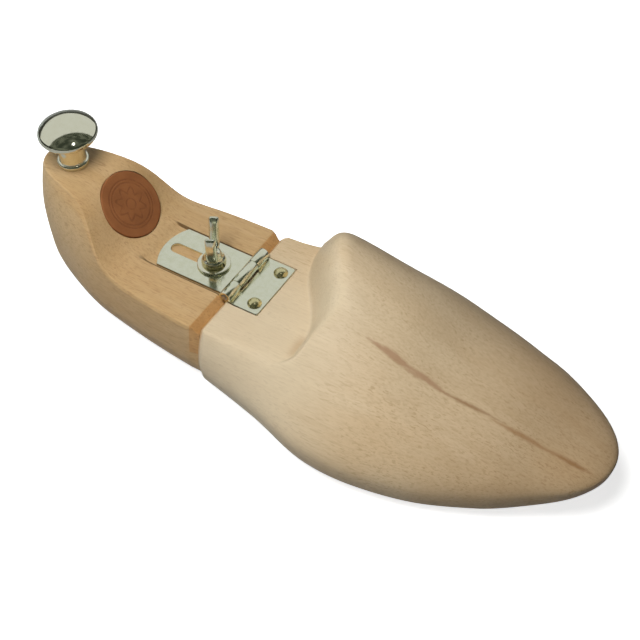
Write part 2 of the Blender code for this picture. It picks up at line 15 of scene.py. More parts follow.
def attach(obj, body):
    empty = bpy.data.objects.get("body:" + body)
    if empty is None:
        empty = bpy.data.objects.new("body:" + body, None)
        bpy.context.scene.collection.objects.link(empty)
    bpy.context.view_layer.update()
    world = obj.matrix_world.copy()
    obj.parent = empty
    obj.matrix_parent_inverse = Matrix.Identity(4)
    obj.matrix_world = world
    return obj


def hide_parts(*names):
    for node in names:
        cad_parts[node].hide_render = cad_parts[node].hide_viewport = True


MM = 0.001
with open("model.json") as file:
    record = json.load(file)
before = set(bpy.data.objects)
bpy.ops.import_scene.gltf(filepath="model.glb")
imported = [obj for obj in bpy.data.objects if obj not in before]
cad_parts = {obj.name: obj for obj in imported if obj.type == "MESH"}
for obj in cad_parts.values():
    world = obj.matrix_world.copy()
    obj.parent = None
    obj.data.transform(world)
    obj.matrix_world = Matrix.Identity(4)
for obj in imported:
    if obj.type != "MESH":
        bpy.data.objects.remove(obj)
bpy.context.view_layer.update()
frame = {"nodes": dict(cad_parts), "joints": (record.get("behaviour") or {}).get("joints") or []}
joints = {joint["name"]: joint for joint in frame["joints"]}

# ---------------------------------------------------------------- the last's frame

KNUCKLE_R = 2.75
SHEET = 1.2
PIN_Z = KNUCKLE_R - SHEET
DECK_UP = Vector(joints["wing_turn"]["axis"]).normalized()
ACROSS = Vector((0, 1, 0))
TOEWARD = ACROSS.cross(DECK_UP)
ORIGIN = Vector(joints["fold"]["pos_m"]) - DECK_UP * PIN_Z * MM
PLACE = Matrix.Translation(ORIGIN) @ Matrix((TOEWARD, ACROSS, DECK_UP)).transposed().to_4x4()

# ---------------------------------------------------------------- sizes

SOLE_DEPTH = 35.0
SOLE_SLOPE = 0.07
ARCH_RISE = 1.2
ARCH_REACH = 40.0
SPRING_START = 100.0
SPRING_RISE = 11.0

TOE_TIP = 172.0
TOE_ROUND_START = 128.0
TOE_ROUND_POWER = 2.2
FORE_REAR = 0.3
FORE_CENTRE = [(0, -3.9), (15, -4.1), (30, -3.0), (60, -4.1), (90, -0.1), (120, 3.7), (150, 6.7), (171, 5.7)]
FORE_HALF = [(0, 35.2), (15, 37.4), (30, 41.5), (60, 48.3), (80, 50.0), (105, 46.8), (130, 38.5), (150, 31.5),
             (171, 27.4)]
FORE_TOP = [(0, 38), (30, 30.8), (50, 24.5), (75, 14.6), (100, 2.8), (125, -4.5), (150, -12.1), (171, -15.0)]
FORE_RIDGE = [(0, 5), (20, 9), (40, 12), (60, 11), (90, 8), (120, 7), (150, 7), (171, 8)]
FORE_WIDE = [(0, 17), (60, 17), (110, 15), (150, 14), (171, 13)]
FORE_CORNER = [(0, 15), (60, 16), (171, 13)]
FORE_OUTER_FULLNESS = [(0, 0.40), (20, 0.33), (38, 0.29), (60, 0.33), (100, 0.45), (150, 0.55), (171, 0.60)]
FORE_INNER_FULLNESS = 0.60
CORNER_FULLNESS = 0.62

RISER_MIDDLE = 30.2
RISER_SWING = 12.4
RISER_TURN_Y = 4.5
RISER_TURN_WIDTH = 16.0
RISER_HOOK_Y = -27.0
RISER_HOOK = 0.12
RISER_SLOPE = math.tan(math.radians(66.5))
RISER_RIM = (2.5, 28.0)         # rounding of the riser's top edge: at its near end, at the crown
BEVEL_REACH = 8.0               # the bevel acts up to this X, and the top stays under this Z there
DECK_ROUNDING = 1.2
LOWEST_CUT = -14.0              # the cut leaves the block alone below this

HEEL_FRONT = -0.3
HEEL_NEAR = [(-110, 24), (-80, 26), (-55, 31), (-30, 34.5), (0, 37.4)]
HEEL_FAR = [(-110, 24), (-80, 25), (-55, 27.5), (-30, 31), (0, 32.4)]
HEEL_RIDGE = [(-105, 35), (-60, 33), (0, 40)]
HEEL_BACK = [(-32, -97), (-22, -99.8), (-12, -101.6), (5, -104.0), (26, -103.0)]
HEEL_WIDE = 17.0
HEEL_CORNER = 15.0
HEEL_ROUND_START = -50.0
HEEL_ROUND_POWER = 2.3
HEEL_ROUND_CENTRE = 2.5
CORNER_POWER = 2.3
CROWN_POWER = 2.25
RAMP_HEIGHT = 24.0
RAMP_MIDDLE = -60.0
RAMP_SOFTNESS = 4.6
SEAT_EDGE = -86.0
SEAT_DROOP = 0.05
CREASE_R = 0.9
HEEL_LENGTH = 104.0             # rounded up; only spaces the columns at the bevel

HEEL_BEVEL = (4.2, 4.2)
HEEL_EASE = (5.4, 3.0)
FORE_BEVEL = (1.3, 1.3)
FORE_EASE = (3.0, 2.0)

BARREL_HALF = 15.5
KNUCKLE_SPLIT = 6.75
KNUCKLE_GAP = 0.2
LEAF_CLEAR_X = 3.15
FRONT_LEAF_END = 16.2
REAR_LEAF_HALF = 12.4
REAR_LEAF_CHORD = -37.1
REAR_LEAF_SAGITTA = 3.7
SLOT_REAR = -37.6
SLOT_HALF = 2.75
RECESS_DEPTH = 1.5
RECESS_GAP = 0.55
GROOVE_NEAR = -13.9
GROOVE_FAR = 12.8
GROOVE_FADE = (-41.3, -46.0)
GROOVE_DRAFT = 0.24             # how far each wall of the groove leans over its height

NAIL_X = 11.8
NAIL_Y = 10.4
NAIL_HEAD_R = 3.1
NAIL_HEAD_HEIGHT = 2.0
NAIL_R = 1.2

SCREW_X = -15.6
SCREW_R = 2.45
SCREW_DEPTH = 13.0
WASHER_R = 7.3
WASHER_BORE_R = 2.75
WASHER_LOW = 0.2
WASHER_HIGH = 1.4
SPRING_R = 5.35
SPRING_LOW = 1.6
SPRING_HIGH = 2.8
HUB_BASE = 3.0
HUB_R = 5.0
WING_TURN = math.radians(117)
WING_HALF_THICK = 2.15
WING_EDGE_R = 1.0

KNOB_X = -88.8
KNOB_Y = 1.6
KNOB_LEAN = math.radians(0.9)
KNOB_TIP = math.radians(2.6)
KNOB_RIM = (12.7, 18.8)
KNOB_TOP_Z = 23.8
NECK_R = 5.9
FOOT_R = 7.05

BADGE_X = -60.0
BADGE_Y = 2.0
BADGE_R = 15.0
BADGE_SINK = 0.8
BADGE_THICK = 1.6
BADGE_LEAN = math.radians(45)

CAMERA_AZIMUTH = 31.27
CAMERA_ELEVATION = 47.49
CAMERA_DISTANCE = 650
CAMERA_LENS = 87.88
CAMERA_TARGET = Vector((40.22, -4.2, 0))
LIGHT_AIM = Vector((-0.02, 0, 0))
FLAG_AZIMUTH = 49
FLAG_ELEVATION = 14
FLAG_DISTANCE = 0.7


# ---------------------------------------------------------------- shape functions

def smooth_table(x, table):
    """Values at x on a smooth curve through the table's (position, value) pairs."""
    positions = np.array([row[0] for row in table], float)
    values = np.array([row[1] for row in table], float)
    slopes = np.gradient(values, positions)
    x = np.clip(np.asarray(x, float), positions[0], positions[-1])
    i = np.clip(np.searchsorted(positions, x) - 1, 0, len(table) - 2)
    step = positions[i + 1] - positions[i]
    t = (x - positions[i]) / step
    return ((2 * t**3 - 3 * t**2 + 1) * values[i] + (t**3 - 2 * t**2 + t) * step * slopes[i]
            + (3 * t**2 - 2 * t**3) * values[i + 1] + (t**3 - t**2) * step * slopes[i + 1])


def quarter_round(t, power):
    """Superellipse quarter: 1 at t = 0, falling to 0 at t = 1."""
    return np.maximum(1 - np.clip(t, 0, 1)**power, 0)**(1 / power)


def smooth_step(x, start, end):
    """0 before start, 1 past end, eased between."""
    t = np.clip((x - start) / (end - start), 0, 1)
    return t * t * (3 - 2 * t)


def smooth_min(a, b, width):
    """The lower of a and b, blended where they are closer than width."""
    near = np.maximum(width - np.abs(a - b), 0) / width
    return np.minimum(a, b) - near**3 * width / 6


def sole_z(x):
    """Height of the sole: sloped, hollowed at the arch, sprung at the toe."""
    arch = ARCH_RISE * np.maximum(1 - np.abs(x) / ARCH_REACH, 0)**2
    spring = SPRING_RISE * (np.maximum(x - SPRING_START, 0) / (TOE_TIP - SPRING_START))**2
    return -(SOLE_DEPTH + SOLE_SLOPE * x) + arch + spring


def heel_top_z(x):
    """Height of the heel block's top along X: deck, ramp and seat, before the groove and the bevel."""
    ramp = RAMP_HEIGHT / (1 + np.exp((x - RAMP_MIDDLE) / RAMP_SOFTNESS))
    return ramp - SEAT_DROOP * np.maximum(SEAT_EDGE - x, 0)


def bezier(p0, p1, p2, p3, steps):
    """Points on a cubic Bezier curve, without its last."""
    t = np.linspace(0, 1, steps + 1)[:-1, None]
    p0, p1, p2, p3 = (np.array(point, float) for point in (p0, p1, p2, p3))
    return (1 - t)**3 * p0 + 3 * (1 - t)**2 * t * p1 + 3 * (1 - t) * t**2 * p2 + t**3 * p3


def fore_section(x, corner_steps, crown_steps):
    """Ring of the uncut toe block at x, from the sole's inner edge over the crown to its outer edge."""
    shrink = float(quarter_round((x - TOE_ROUND_START) / (TOE_TIP - TOE_ROUND_START), TOE_ROUND_POWER))
    ease = FORE_EASE[1] * max(1 - (x - FORE_REAR) / FORE_EASE[0], 0)
    centre = float(smooth_table(x, FORE_CENTRE))
    half = float(smooth_table(x, FORE_HALF)) * shrink - ease
    height = float(smooth_table(x, FORE_WIDE))
    wide = float(sole_z(x)) + height
    low = wide - height * shrink
    top = wide + (float(smooth_table(x, FORE_TOP)) - wide) * shrink
    ridge = centre + (float(smooth_table(x, FORE_RIDGE)) - centre) * shrink
    corner = min(float(smooth_table(x, FORE_CORNER)), 0.9 * half)
    outer = float(smooth_table(x, FORE_OUTER_FULLNESS))
    inner = FORE_INNER_FULLNESS
    round_off = CORNER_FULLNESS
    left, right = centre - half, centre + half
    drop, rise = wide - low, top - wide
    quarters = [
        bezier((right - corner, low), (right - corner * (1 - round_off), low), (right, wide - round_off * drop),
               (right, wide), corner_steps),
        bezier((right, wide), (right, wide + inner * rise), (ridge + inner * (right - ridge), top), (ridge, top),
               crown_steps),
        bezier((ridge, top), (ridge + outer * (left - ridge), top), (left, wide + outer * rise), (left, wide),
               crown_steps),
        bezier((left, wide), (left, wide - round_off * drop), (left + corner * (1 - round_off), low),
               (left + corner, low), corner_steps),
        np.array([(left + corner, low)]),
    ]
    return np.vstack(quarters)


def riser_foot(y):
    """Foot of the toe block's riser in plan."""
    hook = RISER_HOOK * np.maximum(RISER_HOOK_Y - y, 0)**2
    return RISER_MIDDLE - RISER_SWING * np.tanh((y - RISER_TURN_Y) / RISER_TURN_WIDTH) - np.minimum(hook, 12)


def cut_fore(x, ring):
    """Lower a toe block ring to the deck, the riser and the bevel at the joint."""
    y, z = ring[:, 0], ring[:, 1]
    wall = (x - riser_foot(y)) * RISER_SLOPE
    foot_round = 1.8 + 4.0 * smooth_step(-y, 12, 26)
    cut = -smooth_min(-wall, np.zeros_like(wall), foot_round)
    run, drop = FORE_BEVEL
    bevel = -(FORE_REAR + run - x) * drop / run
    limit = min(bevel, BEVEL_REACH) if x < BEVEL_REACH else BEVEL_REACH + 40
    cut = smooth_min(cut, limit, DECK_ROUNDING)
    side_round = np.where(y < 0, 3.2 + 0.20 * min(x, 18), 2.0)
    crest = RISER_RIM[0] + (RISER_RIM[1] - RISER_RIM[0]) * smooth_step(y, -26, -4)
    rim = side_round + (crest - side_round) * smooth_step(wall, -3, 16)
    lowered = smooth_min(z, cut, rim)
    return np.column_stack([y, np.where(z < LOWEST_CUT, z, lowered)])


def heel_side(x, z, table):
    """Half width of the heel block at height z."""
    deep = np.clip((z - sole_z(x)) / SOLE_DEPTH, 0, 1)
    ease = HEEL_EASE[1] * np.maximum(1 + (x - HEEL_FRONT) / HEEL_EASE[0], 0) * deep
    half = smooth_table(x, table) - ease
    wide = sole_z(x) + HEEL_WIDE
    lower = half - HEEL_CORNER * (1 - quarter_round((wide - z) / HEEL_WIDE, CORNER_POWER))
    upper = half * quarter_round((z - wide) / (smooth_table(x, HEEL_RIDGE) - wide), CROWN_POWER)
    return np.where(z < wide, lower, upper)


def heel_outline(level, turns):
    """Near and far sides of the heel block at a fraction of its height, from the joint to the back."""
    z = np.zeros_like(turns)
    for _ in range(12):
        back = smooth_table(z, HEEL_BACK)
        x = HEEL_FRONT + (back - HEEL_FRONT) * np.sin(turns * math.pi / 2)
        z = sole_z(x) + level * (heel_top_z(x) - sole_z(x))
    round_off = quarter_round((x - HEEL_ROUND_START) / (back - HEEL_ROUND_START), HEEL_ROUND_POWER)
    middle = HEEL_ROUND_CENTRE * (1 - round_off)
    near = middle - heel_side(x, z, HEEL_NEAR) * round_off
    far = middle + heel_side(x, z, HEEL_FAR) * round_off
    return np.column_stack([x, near, z]), np.column_stack([x, far, z])


def heel_surface(x, y):
    """Height of the finished top of the heel block: ramp, groove for the leaf and bevel at the joint."""
    depth = RECESS_DEPTH * smooth_step(x, GROOVE_FADE[1], GROOVE_FADE[0])
    z = heel_top_z(x) - np.where((y > GROOVE_NEAR) & (y < GROOVE_FAR), depth, 0)
    run, drop = HEEL_BEVEL
    bevel = -(x - HEEL_FRONT + run) * drop / run
    return smooth_min(z, bevel, 0.8)


# ---------------------------------------------------------------- mesh helpers

def mesh_of(points, faces, name):
    mesh = bpy.data.meshes.new(name)
    mesh.from_pydata([tuple(p) for p in np.asarray(points) * MM], [], faces)
    mesh.validate()
    bm = bmesh.new()
    bm.from_mesh(mesh)
    bmesh.ops.remove_doubles(bm, verts=bm.verts, dist=0.000002)
    bmesh.ops.recalc_face_normals(bm, faces=bm.faces)
    bm.to_mesh(mesh)
    bm.free()
    return mesh


def link(name, mesh, sharp=40):
    made = bpy.data.objects.new(name, mesh)
    bpy.context.scene.collection.objects.link(made)
    if sharp and isinstance(mesh, bpy.types.Mesh):
        mesh.shade_smooth()
        mesh.set_sharp_from_angle(angle=math.radians(sharp))
    return made


def apply_modifiers(made, sharp=40):
    graph = bpy.context.evaluated_depsgraph_get()
    mesh = bpy.data.meshes.new_from_object(made.evaluated_get(graph))
    made.modifiers.clear()
    made.data = mesh
    mesh.shade_smooth()
    if sharp:
        mesh.set_sharp_from_angle(angle=math.radians(sharp))
    return made


def cut_with(made, tools, operation="DIFFERENCE", sharp=40):
    for tool in tools:
        modifier = made.modifiers.new("cut", "BOOLEAN")
        modifier.object = tool
        modifier.operation = operation
        modifier.solver = "EXACT"
        made = apply_modifiers(made, sharp)
        bpy.data.objects.remove(tool)
    return made


def box_object(low, high):
    bm = bmesh.new()
    size = [(b - a) * MM for a, b in zip(low, high)]
    centre = [(a + b) / 2 * MM for a, b in zip(low, high)]
    bmesh.ops.create_cube(bm, size=1, matrix=Matrix.Translation(centre) @ Matrix.Diagonal((*size, 1)))
    mesh = bpy.data.meshes.new("tool")
    bm.to_mesh(mesh)
    bm.free()
    return link("tool", mesh, 0)


def turned(name, profile, steps=96, sharp=40):
    """Solid of revolution about Z from a profile down its outer side; a closed profile makes a ring."""
    closed = profile[0][0] > 0 and profile[-1][0] > 0
    points, faces = [], []
    count = len(profile)
    for step in range(steps):
        a = 2 * math.pi * step / steps
        points += [(r * math.cos(a), r * math.sin(a), z) for r, z in profile]
    for step in range(steps):
        here, there = step * count, (step + 1) % steps * count
        for k in range(count if closed else count - 1):
            n = (k + 1) % count
            faces.append((here + k, here + n, there + n, there + k))
    return link(name, mesh_of(points, faces, name), sharp)


def arc(x, y, radius, start, end, steps):
    """Points on an arc, angles in degrees."""
    return [(x + radius * math.cos(math.radians(start + (end - start) * k / steps)),
             y + radius * math.sin(math.radians(start + (end - start) * k / steps))) for k in range(steps + 1)]


def plate(name, outlines, low, high, rounding=0.0, resolution=2):
    """Flat plate between two heights with rounded edges; outlines after the first are holes."""
    curve = bpy.data.curves.new(name, "CURVE")
    curve.dimensions = "2D"
    curve.fill_mode = "BOTH"
    curve.extrude = ((high - low) / 2 - rounding) * MM
    curve.bevel_depth = rounding * MM
    curve.bevel_resolution = resolution
    curve.offset = -rounding * MM
    for outline in outlines:
        spline = curve.splines.new("POLY")
        spline.points.add(len(outline) - 1)
        spline.use_cyclic_u = True
        for point, (x, y) in zip(spline.points, outline):
            point.co = (x * MM, y * MM, 0, 1)
    holder = bpy.data.objects.new(name, curve)
    bpy.context.scene.collection.objects.link(holder)
    graph = bpy.context.evaluated_depsgraph_get()
    mesh = bpy.data.meshes.new_from_object(holder.evaluated_get(graph))
    bpy.data.objects.remove(holder)
    bm = bmesh.new()
    bm.from_mesh(mesh)
    bmesh.ops.remove_doubles(bm, verts=bm.verts, dist=0.000005)
    bmesh.ops.recalc_face_normals(bm, faces=bm.faces)
    bm.to_mesh(mesh)
    bm.free()
    mesh.transform(Matrix.Translation((0, 0, (low + high) / 2 * MM)))
    return link(name, mesh)


def stand_up(made):
    """Turn a plate drawn in X and Z upright, its thickness along Y."""
    made.data.transform(Matrix.Rotation(math.pi / 2, 4, "X"))
    return made


def place(made, body, nodes, materials, at=None):
    """Put a piece drawn in the last's frame on its body, standing for its CAD nodes."""
    made.data.transform(PLACE @ at if at is not None else PLACE)
    made.data.materials.clear()
    for material in materials:
        made.data.materials.append(material)
    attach(made, body)
    if nodes:
        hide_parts(*nodes)
    return made


# ---------------------------------------------------------------- materials

class Nodes:
    """Short names for building a node material."""

    def __init__(self, name):
        self.material = bpy.data.materials.new(name)
        self.material.use_nodes = True
        self.tree = self.material.node_tree
        self.shader = self.tree.nodes["Principled BSDF"]
        self.last_frame = None

    def add(self, kind, inputs=None, **settings):
        node = self.tree.nodes.new(kind)
        for key, value in settings.items():
            setattr(node, key, value)
        for key, value in (inputs or {}).items():
            self.put(node.inputs[key], value)
        return node

    def put(self, socket, value):
        if isinstance(value, bpy.types.NodeSocket):
            self.tree.links.new(value, socket)
        else:
            socket.default_value = value

    def set(self, **values):
        for key, value in values.items():
            self.put(self.shader.inputs[key.replace("_", " ")], value)

    def coords(self, scale=(1, 1, 1), location=(0, 0, 0)):
        """Millimetres in the last's frame, scaled and shifted."""
        if self.last_frame is None:
            back = PLACE.inverted()
            source = self.add("ShaderNodeTexCoord").outputs["Object"]
            node = self.add("ShaderNodeMapping", {"Vector": source, "Scale": (1000, 1000, 1000),
                                                  "Location": back.translation * 1000, "Rotation": back.to_euler()})
            self.last_frame = node.outputs["Vector"]
        return self.add("ShaderNodeMapping", {"Vector": self.last_frame, "Scale": scale,
                                              "Location": location}).outputs["Vector"]

    def noise(self, vector, scale=1.0, detail=2.0, roughness=0.5, distortion=0.0):
        return self.add("ShaderNodeTexNoise", {"Vector": vector, "Scale": scale, "Detail": detail,
                                               "Roughness": roughness, "Distortion": distortion}).outputs["Fac"]

    def ramp(self, value, low, high, to_low=0.0, to_high=1.0, smooth=True):
        kind = "SMOOTHSTEP" if smooth else "LINEAR"
        return self.add("ShaderNodeMapRange", {"Value": value, "From Min": low, "From Max": high,
                                               "To Min": to_low, "To Max": to_high},
                        interpolation_type=kind).outputs["Result"]

    def math(self, operation, a, b=0.0, c=0.0):
        node = self.add("ShaderNodeMath", operation=operation)
        for socket, value in zip(node.inputs, (a, b, c)):
            self.put(socket, value)
        return node.outputs["Value"]

    def mix(self, factor, a, b, blend="MIX"):
        node = self.add("ShaderNodeMix", data_type="RGBA", blend_type=blend)
        self.put(node.inputs[0], factor)
        for socket, value in ((node.inputs[6], a), (node.inputs[7], b)):
            self.put(socket, (*value, 1) if isinstance(value, tuple) and len(value) == 3 else value)
        return node.outputs[2]

    def bump(self, height, strength, distance):
        node = self.add("ShaderNodeBump", {"Height": height, "Strength": strength, "Distance": distance * MM})
        self.put(self.shader.inputs["Normal"], node.outputs["Normal"])


def beech(name, light, dark, fleck, streak=False, groove_shadow=False):
    """Sanded beech with its grain along X: soft bands, short fine dark flecks and pores."""
    n = Nodes(name)
    bands = n.noise(n.coords((0.006, 0.10, 0.07)), 1, 3, 0.55, 0.6)
    cloud = n.noise(n.coords((0.014, 0.035, 0.035), (3, 7, 1)), 1, 3, 0.6)
    body = n.mix(n.ramp(bands, 0.3, 0.7), light, dark)
    warmer = (light[0] * 0.92, light[1] * 0.80, light[2] * 0.66)
    body = n.mix(n.ramp(cloud, 0.35, 0.75, 0.0, 0.40), body, warmer)
    fine = n.noise(n.coords((0.12, 1.3, 1.3)), 1, 3, 0.6)
    body = n.mix(n.ramp(fine, 0.38, 0.75, 0.0, 0.34), body, fleck)
    patch = n.noise(n.coords((0.04, 0.12, 0.12), (1, 4, 2)), 1, 2)
    flecks = 0.0
    for size, shift, low in (((0.20, 1.3, 1.3), (5, 3, 8), 0.60), ((0.42, 2.1, 2.1), (2, 9, 4), 0.62)):
        dash = n.noise(n.coords(size, shift), 1, 1, 0.4)
        dash = n.math("MULTIPLY", n.ramp(dash, low, low + 0.10), n.ramp(patch, 0.32, 0.62, 0.22, 0.50))
        flecks = n.math("MAXIMUM", dash, flecks)
    body = n.mix(flecks, body, fleck)
    # streak adds the heartwood streak and also paints light and shade on the toe block
    if streak:
        body = heartwood(n, painted_light_and_shade(n, body))
    # painted shadow lines along the edges of the leaf's groove
    if groove_shadow:
        body = painted_groove_shadow(n, body)
    n.set(Base_Color=body, Roughness=n.ramp(fine, 0.2, 0.8, 0.42, 0.54))
    n.set(Specular_IOR_Level=0.4, Coat_Weight=0.25, Coat_Roughness=0.38)
    n.bump(n.math("ADD", n.math("MULTIPLY", flecks, -0.5), fine), 0.25, 0.05)
    return n.material


def painted_light_and_shade(n, body):
    """Painted light and shade on the toe block: painted light makes it paler around its deck, painted shade makes
    it warmer and darker to the toe.
    """
    split = n.add("ShaderNodeSeparateXYZ", {"Vector": n.coords()})
    x, y = split.outputs["X"], split.outputs["Y"]
    # painted light: paler colour around the deck and the riser
    pale = n.math("MULTIPLY", n.ramp(x, 84, 34), n.ramp(y, 30, -6))
    body = n.mix(n.math("MULTIPLY", pale, 0.45), body, (0.71, 0.61, 0.45))
    # painted shadow in the hollow at the riser's near end
    body = n.mix(crease_shade(n, x, y), body, (0.42, 0.27, 0.14))
    # painted shade: warmer and darker towards the toe
    return n.mix(n.ramp(x, 70, 160, 0.0, 0.75), body, (0.78, 0.70, 0.62), "MULTIPLY")


def crease_shade(n, x, y):
    """Painted shadow: a soft brown shade painted in the hollow at the near end of the riser."""
    (x0, y0), (x1, y1) = [(float(riser_foot(np.array([v]))[0]), v) for v in (-14.0, -30.0)]
    length = math.hypot(x1 - x0, y1 - y0)
    ux, uy = (x1 - x0) / length, (y1 - y0) / length
    dx, dy = n.math("SUBTRACT", x, (x0 + x1) / 2), n.math("SUBTRACT", y, (y0 + y1) / 2)
    along = n.math("ADD", n.math("MULTIPLY", dx, ux), n.math("MULTIPLY", dy, uy))
    across = n.math("ADD", n.math("MULTIPLY", dx, -uy), n.math("MULTIPLY", dy, ux))
    on_deck = n.math("MULTIPLY", n.ramp(across, -4.5, -0.8), n.ramp(across, 0.9, -0.4))
    ends = n.ramp(n.math("ABSOLUTE", along), length / 2 + 1, length / 2 - 6)
    return n.math("MULTIPLY", n.math("MULTIPLY", on_deck, ends), 0.5)


def painted_groove_shadow(n, body):
    """Painted shadow: dark lines painted along the edges of the leaf's groove, where the gaps beside the leaf lie
    in shade.
    """
    split = n.add("ShaderNodeSeparateXYZ", {"Vector": n.coords()})
    x, y, z = (split.outputs[axis] for axis in "XYZ")
    near = n.math("ABSOLUTE", n.math("SUBTRACT", y, GROOVE_NEAR + 0.7))
    far = n.math("ABSOLUTE", n.math("SUBTRACT", y, GROOVE_FAR))
    line = n.math("MAXIMUM", n.ramp(near, 0.7, 1.0, 1.0, 0.0), n.ramp(far, 0.2, 0.5, 1.0, 0.0))
    line = n.math("MULTIPLY", line, n.ramp(x, -46.5, -42, 0.0, 0.8))
    line = n.math("MULTIPLY", line, n.ramp(z, -2.6, -2.2))
    # painted shadow colour in the gaps beside the leaf
    return n.mix(line, body, (0.10, 0.055, 0.02))


def heartwood(n, body):
    """Broken reddish streak along the top of the toe block."""
    split = n.add("ShaderNodeSeparateXYZ", {"Vector": n.coords()})
    x, y = split.outputs["X"], split.outputs["Y"]
    wander = n.noise(n.coords((0.07, 0.03, 0.03), (2, 2, 2)), 1, 2, 0.6)
    rough = n.noise(n.coords((0.25, 1.4, 1.4), (6, 2, 2)), 1, 3, 0.6)
    wander = n.math("ADD", n.math("MULTIPLY", n.math("SUBTRACT", wander, 0.5), 1.6),
                    n.math("MULTIPLY", n.math("SUBTRACT", rough, 0.5), 1.5))
    for start, peak, end, y_start, y_end, width, strength, tint in HEARTWOOD:
        middle = n.ramp(x, start, end, y_start, y_end, smooth=False)
        away = n.math("ABSOLUTE", n.math("SUBTRACT", n.math("SUBTRACT", y, middle), wander))
        grow = n.math("MULTIPLY", n.ramp(x, start, peak), n.ramp(x, peak, end, 1.0, 0.0))
        half = n.math("MULTIPLY", grow, width)
        inside = n.ramp(n.math("SUBTRACT", half, away), -0.6, 0.9, 0.0, strength)
        body = n.mix(n.math("MULTIPLY", inside, n.ramp(grow, 0.0, 0.2)), body, tint)
    return body


RED = (0.36, 0.20, 0.11)
HEARTWOOD = [
    (63, 80, 92, -12.6, -11.4, 1.7, 0.75, RED),
    (82, 90, 98, -13.2, -11.9, 1.1, 0.60, RED),
    (84, 96, 108, -11.0, -11.5, 1.3, 0.70, RED),
    (98, 112, 132, -11.8, -7.4, 0.9, 0.80, (0.27, 0.14, 0.06)),
    (118, 136, 158, -10.2, -5.2, 1.1, 0.70, (0.33, 0.17, 0.07)),
    (146, 158, 169, -6.2, -3.4, 1.1, 0.70, (0.27, 0.12, 0.04)),
]


def metal(name, colour, dark, rough, grain=0.15, anisotropic=0.0):
    """Plated metal with faint blotches and fine scratches."""
    n = Nodes(name)
    blotch = n.noise(n.coords((0.35, 0.35, 0.35)), 1, 4, 0.6)
    scratch = n.noise(n.coords((0.4, 9, 9), (1, 1, 1)), 1, 2, 0.5)
    n.set(Base_Color=n.mix(n.ramp(blotch, 0.3, 0.75, 0.0, 0.5), colour, dark), Metallic=1.0)
    n.set(Roughness=n.ramp(blotch, 0.25, 0.8, rough, rough + 0.10), Anisotropic=anisotropic)
    n.bump(n.math("ADD", n.math("MULTIPLY", scratch, 0.4), blotch), grain, 0.02)
    return n.material


def embossed_leather(name):
    """Brown leather with a fine grain, a pressed ring and a rosette."""
    n = Nodes(name)
    split = n.add("ShaderNodeSeparateXYZ", {"Vector": n.add("ShaderNodeTexCoord").outputs["UV"]})
    u, v = split.outputs["X"], split.outputs["Y"]
    cells = n.add("ShaderNodeTexVoronoi", {"Vector": n.coords((1.1, 1.1, 1.1)), "Scale": 1.0})
    grain = cells.outputs["Distance"]
    cloud = n.noise(n.coords((0.12, 0.12, 0.12)), 1, 3)
    radius = n.math("SQRT", n.math("ADD", n.math("POWER", u, 2.0), n.math("POWER", v, 2.0)))
    angle = n.math("ARCTAN2", v, u)
    petal = n.math("COSINE", n.math("MULTIPLY", angle, 8.0))
    edge = n.math("ADD", n.math("MULTIPLY", petal, 1.3), 6.2)
    line = n.math("ABSOLUTE", n.math("SUBTRACT", radius, edge))
    pressed = n.ramp(line, 0.3, 0.9, 1.0, 0.0)
    for ring in (2.4, 9.6, 11.0):
        near = n.math("ABSOLUTE", n.math("SUBTRACT", radius, ring))
        pressed = n.math("MAXIMUM", pressed, n.ramp(near, 0.15, 0.5, 1.0, 0.0))
    worn = n.noise(n.coords((0.4, 0.4, 0.4), (4, 4, 4)), 1, 2)
    pressed = n.math("MULTIPLY", pressed, n.ramp(worn, 0.35, 0.55, 0.35, 1.0))
    base = n.mix(n.ramp(cloud, 0.3, 0.7), (0.235, 0.088, 0.032), (0.29, 0.11, 0.04))
    base = n.mix(n.math("MULTIPLY", pressed, 0.45), base, (0.15, 0.05, 0.02))
    n.set(Base_Color=base, Roughness=n.ramp(grain, 0.0, 0.8, 0.50, 0.62), Specular_IOR_Level=0.35)
    n.bump(n.math("SUBTRACT", n.math("MULTIPLY", grain, 0.25), n.math("MULTIPLY", pressed, 1.2)), 0.6, 0.15)
    return n.material


BEECH_FORE = beech("beech_fore", (0.66, 0.52, 0.34), (0.60, 0.46, 0.29), (0.40, 0.26, 0.13), streak=True)
BEECH_HEEL = beech("beech_heel", (0.58, 0.40, 0.21), (0.52, 0.34, 0.16), (0.34, 0.19, 0.08), groove_shadow=True)
END_GRAIN_HEEL = beech("end_grain_heel", (0.58, 0.34, 0.14), (0.50, 0.27, 0.10), (0.34, 0.17, 0.06))
END_GRAIN_FORE = beech("end_grain_fore", (0.60, 0.42, 0.24), (0.52, 0.34, 0.18), (0.36, 0.22, 0.10))
ZINC = metal("zinc", (0.86, 0.87, 0.72), (0.78, 0.79, 0.60), 0.13)
NICKEL = metal("nickel", (0.86, 0.85, 0.70), (0.82, 0.80, 0.64), 0.05, 0.05)
BRASS = metal("brass", (0.78, 0.72, 0.42), (0.66, 0.58, 0.30), 0.22)
STEEL = metal("steel", (0.55, 0.54, 0.52), (0.40, 0.39, 0.37), 0.30)
LEATHER = embossed_leather("leather")


# ---------------------------------------------------------------- wood

